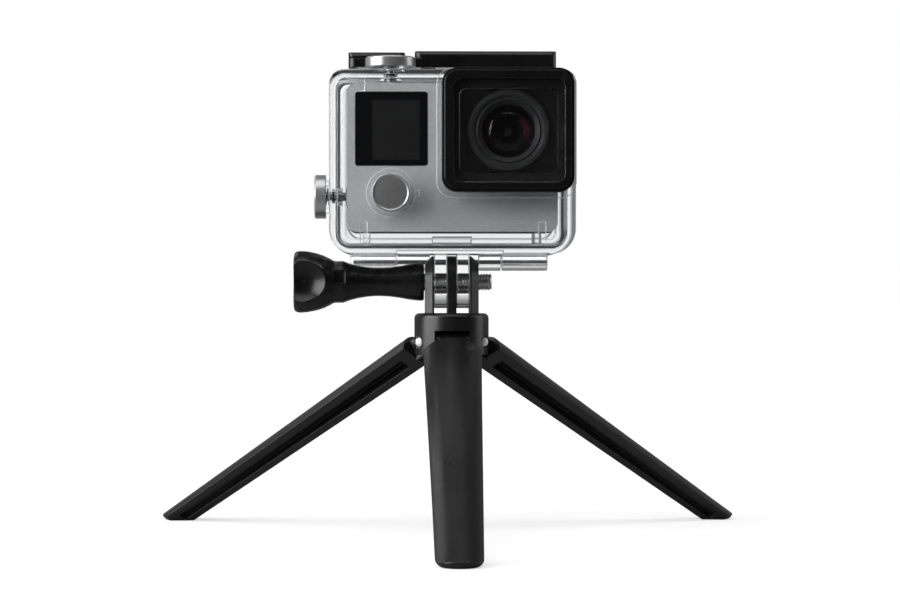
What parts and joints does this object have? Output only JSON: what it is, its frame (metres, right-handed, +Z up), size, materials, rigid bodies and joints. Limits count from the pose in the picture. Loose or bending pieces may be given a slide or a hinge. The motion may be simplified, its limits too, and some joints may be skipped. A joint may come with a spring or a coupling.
{
  "type": "action camera on mini tripod",
  "caption": "Boxy action camera sealed in a clear waterproof housing, clamped by a thumb screw to a folding three-leg mini tripod.",
  "frame": {"origin": "on the floor, under the middle of the whole object's box", "axes": "+Z up, -Y the way the lens looks, +X to the viewer's right when facing the lens"},
  "size_m": [0.1712, 0.1498, 0.1366],
  "materials": {
    "camera_grey": "satin grey plastic",
    "camera_silver": "satin silver paint",
    "camera_dark": "satin dark grey plastic",
    "lens_black": "gloss black",
    "ring_dark": "satin dark ring",
    "lens_glass": "coated lens glass, dark red glints",
    "window_black": "gloss black window",
    "lcd_grey": "unlit display",
    "board_green": "circuit board",
    "heat_aluminium": "bare sheet",
    "battery_grey": "battery sleeve",
    "clear_plastic": "clear polycarbonate",
    "seal_rubber": "black seal rubber",
    "port_glass": "flat clear glass",
    "black_plastic": "satin black plastic",
    "stand_black": "satin black moulded plastic",
    "steel": "bright steel",
    "dark_steel": "dull steel",
    "cap_steel": "satin steel button cap",
    "seal_clear": "pale silicone seal"
  },
  "bodies": {
    "tripod": {"tripod_hub": "stand_black", "leg_hinge_pins": "steel", "clamp_nut": "steel"},
    "front_leg": {"front_leg": "stand_black"},
    "left_leg": {"left_leg": "stand_black"},
    "right_leg": {"right_leg": "stand_black"},
    "thumb_screw": {"thumbscrew_handle": "black_plastic", "thumbscrew_bolt": "steel"},
    "housing": {"housing_front_shell": "clear_plastic", "lens_port_bezel": "black_plastic", "lens_port_glass": "port_glass", "lens_port_seal": "seal_rubber", "camera_body": "camera_grey", "camera_faceplate": "camera_silver", "camera_back_cover": "camera_dark", "camera_lens_block": "lens_black", "lens_outer_ring": "ring_dark", "lens_inner_ring": "ring_dark", "lens_front_element": "lens_glass", "lens_rear_barrel": "lens_black", "image_sensor": "board_green", "main_circuit_board": "board_green", "heat_sink_plate": "heat_aluminium", "battery": "battery_grey", "display_window": "window_black", "lcd_panel": "lcd_grey", "camera_battery_door": "camera_dark", "camera_port_cover": "camera_dark", "shutter_oring": "seal_rubber", "mode_oring": "seal_rubber", "side_oring": "seal_rubber"},
    "back_door": {"housing_back_door": "clear_plastic", "door_gasket": "seal_clear", "door_hinge_pin": "steel"},
    "latch": {"latch_lever": "black_plastic", "latch_pin": "steel"},
    "latch_lock": {"latch_lock_slider": "black_plastic"},
    "shutter_button": {"shutter_cap": "cap_steel", "shutter_pin": "dark_steel", "shutter_spring": "steel"},
    "mode_button": {"mode_cap": "cap_steel", "mode_pin": "dark_steel", "mode_spring": "steel"},
    "side_button": {"side_cap": "cap_steel", "side_pin": "dark_steel", "side_spring": "steel"},
    "camera_top_key": {"camera_top_button": "camera_silver"},
    "camera_front_key": {"camera_front_button": "camera_silver"},
    "camera_left_key": {"camera_left_button": "camera_dark"}
  },
  "joints": [
    {"name": "front_leg_fold", "type": "hinge", "parent": "tripod", "child": "front_leg", "pos_m": [0, 0.01678, 0.0541], "axis": [1, 0, 0], "range_deg": [0, 59.2]},
    {"name": "left_leg_fold", "type": "hinge", "parent": "tripod", "child": "left_leg", "pos_m": [-0.00537, 0.02608, 0.0541], "axis": [-0.5, -0.866, 0], "range_deg": [0, 59.2]},
    {"name": "right_leg_fold", "type": "hinge", "parent": "tripod", "child": "right_leg", "pos_m": [0.00537, 0.02608, 0.0541], "axis": [-0.5, 0.866, 0], "range_deg": [0, 59.2]},
    {"name": "thumb_screw_turn", "type": "hinge", "parent": "tripod", "child": "thumb_screw", "pos_m": [-0.02, 0.02298, 0.071], "axis": [1, 0, 0], "continuous": true},
    {"name": "housing_tilt", "type": "hinge", "parent": "tripod", "child": "housing", "pos_m": [0, 0.02298, 0.071], "axis": [1, 0, 0], "range_deg": [-35, 60]},
    {"name": "back_door_hinge", "type": "hinge", "parent": "housing", "child": "back_door", "pos_m": [0, 0.03748, 0.0767], "axis": [-1, 0, 0], "range_deg": [0, 105]},
    {"name": "latch_hinge", "type": "hinge", "parent": "housing", "child": "latch", "pos_m": [0, 0.02918, 0.1337], "axis": [1, 0, 0], "range_deg": [0, 95]},
    {"name": "latch_lock_slide", "type": "slide", "parent": "latch", "child": "latch_lock", "axis": [1, 0, 0], "range_m": [0, 0.0024]},
    {"name": "shutter_press", "type": "slide", "parent": "housing", "child": "shutter_button", "axis": [0, 0, -1], "range_m": [0, 0.001], "stiffness_N_per_m": 300, "springref_m": -0.002, "deforming": ["shutter_spring"]},
    {"name": "mode_press", "type": "slide", "parent": "housing", "child": "mode_button", "axis": [0, 1, 0], "range_m": [0, 0.001], "stiffness_N_per_m": 300, "springref_m": -0.002, "deforming": ["mode_spring"]},
    {"name": "side_press", "type": "slide", "parent": "housing", "child": "side_button", "axis": [1, 0, 0], "range_m": [0, 0.001], "stiffness_N_per_m": 300, "springref_m": -0.002, "deforming": ["side_spring"]},
    {"name": "camera_top_key_press", "type": "slide", "parent": "housing", "child": "camera_top_key", "axis": [0, 0, -1], "range_m": [0, 0.001]},
    {"name": "camera_front_key_press", "type": "slide", "parent": "housing", "child": "camera_front_key", "axis": [0, 1, 0], "range_m": [0, 0.001]},
    {"name": "camera_left_key_press", "type": "slide", "parent": "housing", "child": "camera_left_key", "axis": [1, 0, 0], "range_m": [0, 0.001]}
  ],
  "couplings": [
    {"joint": "camera_top_key_press", "follows": "shutter_press", "ratio": 1},
    {"joint": "camera_front_key_press", "follows": "mode_press", "ratio": 1},
    {"joint": "camera_left_key_press", "follows": "side_press", "ratio": 1}
  ]
}
